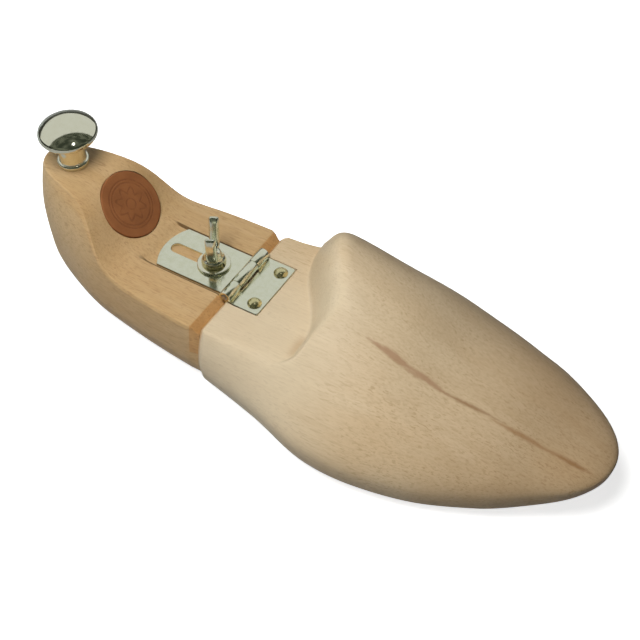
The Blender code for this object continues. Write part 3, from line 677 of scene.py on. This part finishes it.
def build_fore():
    """Toe block: rings along X, cut down to the deck, with the pocket for the front leaf."""
    stations = list(np.linspace(FORE_REAR, FORE_REAR + FORE_EASE[0], 9))
    stations += list(np.arange(4.0, 62, 0.7))
    stations += list(np.linspace(62, TOE_ROUND_START, 45))
    stations += [TOE_ROUND_START + (TOE_TIP - TOE_ROUND_START) * math.sin(t * math.pi / 2)
                 for t in np.linspace(0.03, 0.985, 44)]
    rings = []
    for x in stations:
        ring = cut_fore(x, fore_section(x, 16, 64)) if x < 75 else fore_section(x, 16, 64)
        rings.append(np.column_stack([np.full(len(ring), x), ring]))
    count = len(rings[0])
    points = np.vstack(rings)
    faces = []
    for i in range(len(rings) - 1):
        for k in range(count):
            n = (k + 1) % count
            faces.append((i * count + k, i * count + n, (i + 1) * count + n, (i + 1) * count + k))
    tip = len(points)
    tip_y = float(smooth_table(TOE_TIP, FORE_CENTRE))
    points = np.vstack([points, [[TOE_TIP, tip_y, float(sole_z(TOE_TIP)) + FORE_WIDE[-1][1]]]])
    last = (len(rings) - 1) * count
    for k in range(count):
        faces.append((last + k, last + (k + 1) % count, tip))
    faces.append(tuple(range(count)))
    fore = link("toe_block", mesh_of(points, faces, "toe_block"), 50)
    recess = box_object((-4, -BARREL_HALF - RECESS_GAP, -RECESS_DEPTH),
                        (FRONT_LEAF_END + RECESS_GAP, BARREL_HALF + RECESS_GAP, 3))
    fore = cut_with(fore, [recess], sharp=50)
    place(fore, "fore", ["fore_part"], [BEECH_FORE, END_GRAIN_FORE])
    mark_end_grain(fore, lambda x, out: x < FORE_REAR + FORE_BEVEL[0] - 0.1 and out < -0.3)
    return fore


def build_heel():
    """Heel block: sides, top and sole as grids that share their edges, then the pockets and bores."""
    run = HEEL_BEVEL[0]
    first = math.asin(run / HEEL_LENGTH) * 2 / math.pi
    turns = np.concatenate([np.linspace(0, first, 9)[:-1], np.linspace(first, 0.5, 60)[:-1],
                            1 - 0.5 * (1 - np.linspace(0, 1, 70))**1.3])
    levels = list(np.concatenate([0.34 * np.linspace(0, 1, 14)**1.6, np.linspace(0.34, 1, 22)[1:-1]]))
    near_rows, far_rows = [], []
    for level in levels:
        near, far = heel_outline(level, turns)
        near_rows.append(near)
        far_rows.append(far)
    near, far = heel_outline(1.0, turns)

    def inward(row, sign):
        along = np.gradient(row[:, :2], axis=0)
        normal = np.column_stack([-along[:, 1], along[:, 0]]) * sign
        return normal / np.maximum(np.linalg.norm(normal, axis=1, keepdims=True), 1e-9)

    towards_near, towards_far = inward(near, -1), inward(far, 1)
    for k in range(5):
        a = math.pi / 2 * k / 5
        for rows, row, normal in ((near_rows, near, towards_near), (far_rows, far, towards_far)):
            moved = row.copy()
            moved[:, :2] += normal * CREASE_R * (1 - math.cos(a))
            moved[:, 1] = np.where(np.arange(len(row)) == len(row) - 1, near[-1, 1], moved[:, 1])
            moved[:, 2] = row[:, 2] - CREASE_R * (1 - math.sin(a))
            rows.append(moved)
    near_edge, far_edge = near.copy(), far.copy()
    near_edge[:, :2] += towards_near * CREASE_R
    far_edge[:, :2] += towards_far * CREASE_R
    near_edge[-1, 1] = far_edge[-1, 1] = near[-1, 1]

    columns = []
    for i in range(len(turns)):
        a, b = near_edge[i], far_edge[i]
        span = b[1] - a[1]
        low, high = a[1] + 0.05 * span, b[1] - 0.05 * span
        inner = [max(GROOVE_NEAR - 0.12, low), min(GROOVE_FAR + 0.12, high)]
        draft = min(GROOVE_DRAFT, 0.02 * span)
        deep = [inner[0] + draft, inner[1] - draft]
        ys = np.concatenate([np.linspace(a[1], inner[0], 14), np.linspace(deep[0], deep[1], 22),
                             np.linspace(inner[1], b[1], 14)])
        t = (ys - a[1]) / max(span, 1e-6)
        xs = a[0] + (b[0] - a[0]) * t
        columns.append(np.column_stack([xs, ys, heel_surface(xs, ys)]))
    columns = np.array(columns)

    points, faces = [], []
    total = 0

    def add_grid(grid, flip=False):
        nonlocal total
        rows, cols = grid.shape[:2]
        points.append(grid.reshape(-1, 3))
        for i in range(rows - 1):
            for k in range(cols - 1):
                quad = (total + i * cols + k, total + i * cols + k + 1, total + (i + 1) * cols + k + 1,
                        total + (i + 1) * cols + k)
                faces.append(quad[::-1] if flip else quad)
        total += rows * cols

    near_grid, far_grid = np.array(near_rows), np.array(far_rows)
    top_limit = heel_surface(near_grid[..., 0], near_grid[..., 1] * 0 + 50)
    near_grid[..., 2] = np.minimum(near_grid[..., 2], top_limit)
    top_limit = heel_surface(far_grid[..., 0], far_grid[..., 1] * 0 + 50)
    far_grid[..., 2] = np.minimum(far_grid[..., 2], top_limit)
    near_last = columns[:, 0][None]
    far_last = columns[:, -1][None]
    add_grid(np.concatenate([near_grid, near_last]))
    add_grid(np.concatenate([far_grid, far_last]), flip=True)
    add_grid(columns)
    across = np.linspace(0, 1, 12)
    bottom = np.array([[near_rows[0][i] + (far_rows[0][i] - near_rows[0][i]) * t for t in across]
                       for i in range(len(turns))])
    add_grid(bottom, flip=True)
    mesh = mesh_of(np.vstack(points), faces, "heel_block")
    bm = bmesh.new()
    bm.from_mesh(mesh)
    rim = [edge for edge in bm.edges if edge.is_boundary]
    bmesh.ops.holes_fill(bm, edges=rim, sides=0)
    bmesh.ops.recalc_face_normals(bm, faces=bm.faces)
    bm.to_mesh(mesh)
    bm.free()
    heel = link("heel_block", mesh, 50)

    spot = turned("tool", [(0, 30), (BADGE_R + 0.25, 30), (BADGE_R + 0.25, -BADGE_SINK - 0.2),
                           (0, -BADGE_SINK - 0.2)], 128)
    spot.data.transform(badge_matrix())
    pocket = turned("tool", [(0, 5), (4.3, 5), (4.3, -14.1), (0, -14.1)], 64)
    pocket.data.transform(Matrix.Translation((SCREW_X * MM, 0, 0)))
    seat = turned("tool", [(0, 9), (FOOT_R + 0.5, 9), (FOOT_R + 0.5, 0), (0, 0)], 96)
    seat.data.transform(knob_matrix())
    bore = turned("tool", [(0, 6), (2.5, 6), (2.5, -24.3), (0, -24.3)], 32)
    bore.data.transform(knob_matrix())
    heel = cut_with(heel, [spot, pocket, seat, bore], sharp=50)
    place(heel, "heel", ["heel_part"], [BEECH_HEEL, END_GRAIN_HEEL])
    mark_end_grain(heel, lambda x, out: x > HEEL_FRONT - run + 0.1 and out > 0.2)
    return heel


def mark_end_grain(block, is_end):
    """Give the faces at the joint, told by their X and how far they face along it, the end-grain material."""
    for face in block.data.polygons:
        if is_end((PLACE.inverted() @ face.center).x / MM, face.normal.dot(TOEWARD)):
            face.material_index = 1


def badge_matrix():
    spot = Vector((BADGE_X, BADGE_Y, float(heel_top_z(BADGE_X)))) * MM
    return Matrix.Translation(spot) @ Matrix.Rotation(BADGE_LEAN, 4, "Y")


def knob_matrix():
    spot = Vector((KNOB_X, KNOB_Y, float(heel_top_z(KNOB_X)))) * MM
    return Matrix.Translation(spot) @ Matrix.Rotation(-KNOB_LEAN, 4, "Y") @ Matrix.Rotation(KNOB_TIP, 4, "X")


# ---------------------------------------------------------------- hinge

def roll(name, low, high, towards):
    """Rolled knuckle: the sheet runs under the pin and curls over it until it nearly meets the leaf again."""
    inner = KNUCKLE_R - SHEET
    outside = arc(0, PIN_Z, KNUCKLE_R, 270, 270 - 335, 44)
    inside = arc(0, PIN_Z, inner, 270 - 335, 270, 44)
    profile = [(-towards * x, z) for x, z in outside + inside]
    made = stand_up(plate(name, [profile], -high, -low, 0.12, 1))
    return made


def build_leaf(name, nodes, body, outlines, knuckles, towards):
    """One leaf of the hinge with its rolled knuckles; towards is 1 for the toe, -1 for the heel."""
    leaf = plate(name, outlines, -SHEET, 0, 0.18, 2)
    tools = []
    for low, high in knuckles:
        reach = towards * (LEAF_CLEAR_X + 0.6)
        tools.append(box_object((min(0, reach), low + 0.12, -SHEET), (max(0, reach), high - 0.12, -0.02)))
        tools.append(roll("roll", low, high, towards))
    leaf = cut_with(leaf, tools, "UNION")
    return place(leaf, body, nodes, [ZINC])


def build_hinge():
    """Both leaves: the slotted one with its arched end, the fixed one with its rounded corners."""
    radius = (REAR_LEAF_HALF**2 + REAR_LEAF_SAGITTA**2) / (2 * REAR_LEAF_SAGITTA)
    swing = math.degrees(math.asin(REAR_LEAF_HALF / radius))
    end = arc(REAR_LEAF_CHORD - REAR_LEAF_SAGITTA + radius, 0, radius, 180 - swing, 180 + swing, 32)
    rear = end + [(-LEAF_CLEAR_X, -REAR_LEAF_HALF), (-LEAF_CLEAR_X, REAR_LEAF_HALF)]
    slot = arc(SLOT_REAR + SLOT_HALF, 0, SLOT_HALF, 90, 270, 20)
    slot += arc(SCREW_X + 0.3, 0, SLOT_HALF, -90, 90, 20)
    build_leaf("slotted_plate", ["slotted_leaf"], "leaf", [rear, slot], [(-KNUCKLE_SPLIT, KNUCKLE_SPLIT)], -1)
    front = [(LEAF_CLEAR_X, -BARREL_HALF)] + arc(FRONT_LEAF_END - 1.2, 1.2 - BARREL_HALF, 1.2, -90, 0, 6)
    front += arc(FRONT_LEAF_END - 1.2, BARREL_HALF - 1.2, 1.2, 0, 90, 6) + [(LEAF_CLEAR_X, BARREL_HALF)]
    inner = KNUCKLE_SPLIT + KNUCKLE_GAP
    outer_knuckles = [(-BARREL_HALF, -inner), (inner, BARREL_HALF)]
    build_leaf("fixed_plate", ["front_leaf"], "fore", [front], outer_knuckles, 1)


def build_nails():
    """Two dome-headed nails through the front leaf."""
    dome = (NAIL_HEAD_R**2 + NAIL_HEAD_HEIGHT**2) / (2 * NAIL_HEAD_HEIGHT)
    swing = math.degrees(math.asin(NAIL_HEAD_R / dome))
    head = arc(0, 0.15 + NAIL_HEAD_HEIGHT - dome, dome, 90, 90 - swing * 0.93, 14)
    head[0] = (0, head[0][1])
    profile = head + [(NAIL_HEAD_R, 0.32), (NAIL_HEAD_R, 0.18), (NAIL_HEAD_R - 0.15, 0.06), (NAIL_R, 0.05),
                      (NAIL_R, -11), (0, -14)]
    for name, node, side in (("nail_near", "leaf_rivet_near", -1), ("nail_far", "leaf_rivet_far", 1)):
        nail = turned(name, profile, 48)
        place(nail, "fore", [node], [BRASS],
              Matrix.Translation((NAIL_X * MM, side * NAIL_Y * MM, 0)))


# ---------------------------------------------------------------- clamp

def rounded_ring(outer, bore, low, high, rounding):
    """Closed profile of a ring with its outer and bore edges rounded."""
    r = rounding
    top = arc(outer - r, high - r, r, 90, 0, 4)
    bottom = arc(outer - r, low + r, r, 0, -90, 4)
    inner = [(bore + 0.1, low), (bore, low + 0.1), (bore, high - 0.1), (bore + 0.1, high)]
    return top + bottom + inner


def build_clamp():
    """Flat washer, split ring and wing screw."""
    shift = Matrix.Translation((SCREW_X * MM, 0, 0))
    flat = turned("clamp_washer", rounded_ring(WASHER_R, WASHER_BORE_R, WASHER_LOW, WASHER_HIGH, 0.35), 96)
    place(flat, "washers", ["flat_washer"], [NICKEL], shift)
    lock = turned("lock_washer", rounded_ring(SPRING_R, 2.8, SPRING_LOW, SPRING_HIGH, 0.25), 96)
    split = box_object((0, -0.45, -4), (SPRING_R + 1, 0.45, 4))
    split.data.transform(Matrix.Translation((0, 0, 2.2 * MM)) @ Matrix.Rotation(math.radians(25), 4, "X"))
    lock = cut_with(lock, [split])
    place(lock, "washers", ["spring_washer"], [BRASS], shift)

    base = HUB_BASE
    profile = [(0, base + 5.8), (2.2, base + 5.6), (3.0, base + 5.0), (3.5, base + 3.8), (3.9, base + 2.6),
               (4.4, base + 1.7), (HUB_R - 0.2, base + 1.3), (HUB_R, base + 1.0), (HUB_R, base + 0.3),
               (HUB_R - 0.3, base), (SCREW_R, base), (SCREW_R, -SCREW_DEPTH + 1), (SCREW_R - 1, -SCREW_DEPTH),
               (0, -SCREW_DEPTH)]
    screw = turned("thumb_screw", profile, 64)
    outline = wing_outline()
    tools = []
    for side in (1, -1):
        turned_outline = [(side * r, z) for r, z in outline]
        wing = stand_up(plate("wing", [turned_outline], -WING_HALF_THICK, WING_HALF_THICK, WING_EDGE_R, 4))
        wing.data.transform(Matrix.Rotation(WING_TURN, 4, "Z") @ Matrix.Translation((0, 0, base * MM)))
        tools.append(wing)
    screw = cut_with(screw, tools, "UNION")
    blend = screw.modifiers.new("blend", "REMESH")
    blend.mode = "VOXEL"
    blend.voxel_size = 0.2 * MM
    soften = screw.modifiers.new("soften", "SMOOTH")
    soften.iterations = 4
    soften.factor = 0.5
    screw = apply_modifiers(screw, 0)
    place(screw, "wing", ["wing_screw"], [ZINC], shift)


def wing_outline():
    """One wing from the hub's middle to its round tip, as a smooth closed curve."""
    control = [(1.0, 1.2), (4.2, 1.8), (6.4, 5.2), (7.7, 9.8), (8.3, 14.4), (7.7, 18.0), (6.2, 18.2),
               (5.1, 16.2), (4.1, 11.5), (2.9, 7.7), (1.0, 6.0)]
    points = []
    count = len(control)
    for i in range(count):
        p0, p1, p2, p3 = (np.array(control[(i + k - 1) % count], float) for k in range(4))
        for t in np.linspace(0, 1, 6)[:-1]:
            points.append(0.5 * (2 * p1 + (p2 - p0) * t + (2 * p0 - 5 * p1 + 4 * p2 - p3) * t**2
                                 + (3 * p1 - p0 - 3 * p2 + p3) * t**3))
    return [tuple(p) for p in points]


# ---------------------------------------------------------------- knob and badge

def build_knob():
    rim_r, rim_z = KNOB_RIM
    dome = (rim_r**2 + (KNOB_TOP_Z - rim_z)**2) / (2 * (KNOB_TOP_Z - rim_z))
    swing = math.degrees(math.asin(rim_r / dome))
    cap = arc(0, KNOB_TOP_Z - dome, dome, 90, 90 - swing * 0.97, 40)
    cap[0] = (0, KNOB_TOP_Z)
    lip = [(12.62, 18.72), (12.78, 18.5), (12.9, 18.15), (12.98, 17.7), (13.0, 17.3), (12.94, 16.85),
           (12.75, 16.4), (12.35, 15.8), (11.75, 15.25), (11.0, 14.78), (10.0, 14.4), (8.8, 14.05),
           (7.9, 13.6), (7.1, 13.0), (6.6, 12.2), (6.2, 11.2), (6.0, 10.0)]
    neck = [(NECK_R, 8.5), (NECK_R, 7.0), (NECK_R, 5.4), (NECK_R, 4.2), (NECK_R + 0.05, 3.3)]
    foot = arc(FOOT_R - 1.15, 1.7, 1.15, 80, 0, 10)
    post = neck + foot + [(FOOT_R, 0.75), (FOOT_R - 0.2, 0.35), (FOOT_R - 0.4, 0.3)]
    bore = [(2.3, 0.3), (2.3, 11), (0, 11)]
    knob = turned("pull_knob_turned", cap + lip + post + bore, 128, 50)
    place(knob, "heel", ["pull_knob"], [NICKEL], knob_matrix())


def build_badge():
    high, low = BADGE_THICK - BADGE_SINK, -BADGE_SINK
    edge = arc(BADGE_R - 0.6, high - 0.6, 0.6, 90, 0, 5)
    profile = [(0, high)] + [(r, high) for r in (3, 6, 9, 12, 13.6)] + edge
    profile += [(BADGE_R, low + 0.1), (BADGE_R - 0.1, low), (0, low)]
    badge = turned("badge_leather", profile, 128)
    layer = badge.data.uv_layers.new(name="face")
    for loop in badge.data.loops:
        at = badge.data.vertices[loop.vertex_index].co / MM
        layer.data[loop.index].uv = (at.x, at.y)
    place(badge, "heel", ["badge_disc"], [LEATHER], badge_matrix())


# ---------------------------------------------------------------- scene

def dress_cad():
    for node, material in (("hinge_pin", STEEL), ("knob_stud", STEEL), ("threaded_insert", BRASS)):
        made = frame["nodes"][node]
        made.data.materials.clear()
        made.data.materials.append(material)


def direction(azimuth, elevation):
    """Unit vector to a point round the object: azimuth 0 is its near side, 90 its toe; both in degrees."""
    a, e = math.radians(azimuth), math.radians(elevation)
    return Vector((math.sin(a) * math.cos(e), -math.cos(a) * math.cos(e), math.sin(e)))


def build_camera():
    """Camera set in the last's own frame and carried along by PLACE."""
    away = direction(CAMERA_AZIMUTH, CAMERA_ELEVATION)
    right = direction(CAMERA_AZIMUTH + 90, 0)
    up = away.cross(right)
    turn = Matrix((right, up, away)).transposed().to_4x4()
    camera = bpy.data.cameras.new("camera")
    camera.lens = CAMERA_LENS
    camera.sensor_width = 36
    camera.clip_start = 0.02
    holder = bpy.data.objects.new("camera", camera)
    bpy.context.scene.collection.objects.link(holder)
    holder.matrix_world = PLACE @ Matrix.Translation((CAMERA_TARGET + away * CAMERA_DISTANCE) * MM) @ turn
    bpy.context.scene.camera = holder
    return holder


def area_light(name, azimuth, elevation, distance, size, power, colour=(1, 1, 1), mirrored=False):
    """Round soft light aimed at the object; only a mirrored one shows in the metal."""
    light = bpy.data.lights.new(name, "AREA")
    light.shape = "DISK"
    light.size = size
    light.energy = power
    light.color = colour
    holder = bpy.data.objects.new(name, light)
    bpy.context.scene.collection.objects.link(holder)
    way = direction(azimuth, elevation)
    holder.location = way * distance + LIGHT_AIM
    holder.rotation_euler = way.to_track_quat("Z", "Y").to_euler()
    holder.visible_glossy = mirrored
    return holder


def square_sheet(name, half):
    """Flat square mesh; half is half its side, in millimetres."""
    corners = [(-half, -half, 0), (half, -half, 0), (half, half, 0), (-half, half, 0)]
    return mesh_of(corners, [(0, 1, 2, 3)], name)


def reflection_only(name, mesh, low, high):
    """Dim glowing card that only reflections see."""
    n = Nodes(name)
    cloud = n.noise(n.coords((0.0012, 0.0012, 0.0012)), 1, 2)
    n.set(Base_Color=(0, 0, 0, 1), Specular_IOR_Level=0.0, Emission_Strength=1.0)
    n.set(Emission_Color=n.mix(n.ramp(cloud, 0.40, 0.62), low, high))
    card = link(name, mesh, 0)
    card.data.materials.append(n.material)
    card.visible_camera = card.visible_diffuse = card.visible_shadow = card.visible_transmission = False
    return card


def build_flags():
    """Dark side of the studio, for the knob and the hinge: a tilted card and a low dark band all round."""
    way = direction(FLAG_AZIMUTH, FLAG_ELEVATION)
    card = reflection_only("flag", square_sheet("flag", 6000), (0.035, 0.042, 0.030), (0.13, 0.14, 0.11))
    card.location = way * FLAG_DISTANCE
    card.rotation_euler = way.to_track_quat("Z", "Y").to_euler()
    radius, low, high, steps = 2600, 300, 1400, 48
    facing = math.radians(FLAG_AZIMUTH - 90)
    points, faces = [], []
    for k in range(steps):
        a = 2 * math.pi * k / steps
        top = low + (high - low) * (0.5 + 0.5 * math.cos(a - facing))
        points += [(radius * math.cos(a), radius * math.sin(a), z) for z in (5, top)]
        n = (k + 1) % steps
        faces.append((2 * k, 2 * n, 2 * n + 1, 2 * k + 1))
    band = mesh_of(points, faces, "dark_band")
    reflection_only("dark_band", band, (0.02, 0.022, 0.018), (0.06, 0.06, 0.05))


def build_world():
    """Even pale surroundings that show in the metal but don't light the wood."""
    world = bpy.data.worlds.new("studio")
    bpy.context.scene.world = world
    world.use_nodes = True
    background = world.node_tree.nodes["Background"]
    background.inputs["Color"].default_value = (0.98, 1.0, 0.96, 1)
    background.inputs["Strength"].default_value = 0.62
    world.cycles_visibility.diffuse = False


def build_floor():
    """Pale floor in two sheets: the one that is seen, and a greyer one under it that gives the bounce."""
    for name, tone, glow, seen in (("floor", 0.90, 0.75, True), ("bounce", 0.40, 0.0, False)):
        n = Nodes(name)
        cloud = n.noise(n.coords((0.004, 0.004, 0.004)), 1, 2)
        n.set(Base_Color=n.mix(n.ramp(cloud, 0.3, 0.7), (tone,) * 3, (tone * 0.97,) * 3), Roughness=0.7)
        n.set(Emission_Color=(1, 1, 1, 1), Emission_Strength=glow)
        floor = link(name, square_sheet(name, 2500), 0)
        floor.data.materials.append(n.material)
        floor.location.z = -0.0002 if seen else -0.0004
        floor.visible_camera = seen
        floor.visible_diffuse = floor.visible_glossy = not seen
        floor.visible_shadow = False


build_camera()
build_fore()
build_heel()
build_hinge()
build_nails()
build_clamp()
build_knob()
build_badge()
dress_cad()
build_floor()
build_world()
area_light("overhead", -8, 68, 0.6, 0.30, 3.15, (1.0, 0.995, 0.97))
area_light("lamp", 32, 74, 0.6, 0.055, 0.06, mirrored=True)
area_light("window", -92, 11, 0.6, 0.30, 1.3, (0.80, 0.94, 1.0))
area_light("front", -8, 40, 0.55, 0.30, 0.22, (0.85, 0.95, 1.0))
build_flags()
bpy.context.scene.view_settings.view_transform = "Standard"
